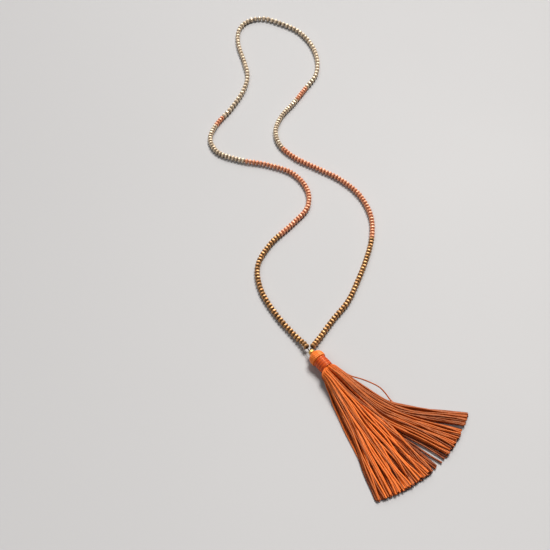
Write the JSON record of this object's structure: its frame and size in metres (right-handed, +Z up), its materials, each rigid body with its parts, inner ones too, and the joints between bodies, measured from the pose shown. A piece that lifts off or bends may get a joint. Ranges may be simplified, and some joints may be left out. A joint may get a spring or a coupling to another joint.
{
  "type": "tassel necklace",
  "caption": "Long necklace of small cut beads in bronze, coral and champagne runs, with a gold collector bead and an orange silky tassel, lying on a surface.",
  "frame": {"origin": "middle of the footprint at the surface that the necklace lies on", "axes": "+Y from the tassel's end to the back of the loop, +Z up from the surface"},
  "size_m": [0.1728, 0.4586, 0.0105],
  "materials": {
    "bronze_bead": "bronze and gold metallic coating on cut glass",
    "coral_bead": "pearly coral coating on cut glass",
    "champagne_bead": "pearly champagne coating on cut glass",
    "gold_bead": "bright gold coating on cut glass",
    "thread": "matt brown beading thread",
    "tassel_thread": "silky orange thread",
    "band_thread": "satin orange thread, tightly wound"
  },
  "bodies": {
    "root": {"bronze_beads": "bronze_bead", "coral_beads": "coral_bead", "champagne_beads": "champagne_bead", "coral_accents": "coral_bead", "back_string": "champagne_bead", "thread": "thread", "collector_bead": "gold_bead", "tassel_cap": "tassel_thread", "neck_band": "band_thread", "tassel_skirt": "tassel_thread"}
  },
  "joints": []
}
